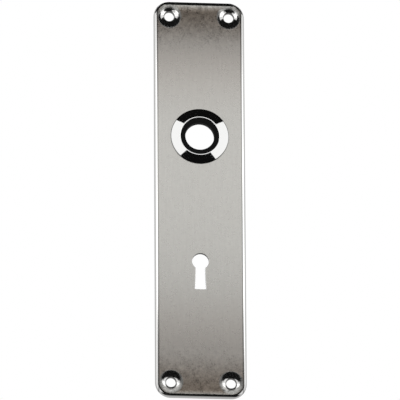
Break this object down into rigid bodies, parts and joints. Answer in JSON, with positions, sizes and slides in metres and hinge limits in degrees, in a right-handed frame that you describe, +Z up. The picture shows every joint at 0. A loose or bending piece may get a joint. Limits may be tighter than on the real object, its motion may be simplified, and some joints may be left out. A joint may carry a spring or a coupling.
{
  "type": "door backplate",
  "caption": "Long pressed-metal door backplate with rounded rim, dished screw holes at the corners, a polished collar with a black bush round the handle bore, and a keyhole below.",
  "frame": {"origin": "middle of the screw pattern, on the plane of the door that the rim and the screw dishes bear on", "axes": "+Z up the door along the plate, -Y out of the door through the face, +X to the right seen from the room"},
  "size_m": [0.039, 0.0032, 0.1806],
  "materials": {
    "satin_plate": "satin plated face with a faint grain, bright rounded rim and screw dishes",
    "polished_collar": "mirror polished",
    "black_bush": "smooth moulded black"
  },
  "bodies": {
    "root": {"backplate": "satin_plate", "collar": "polished_collar", "bearing_bush": "black_bush"}
  },
  "joints": []
}
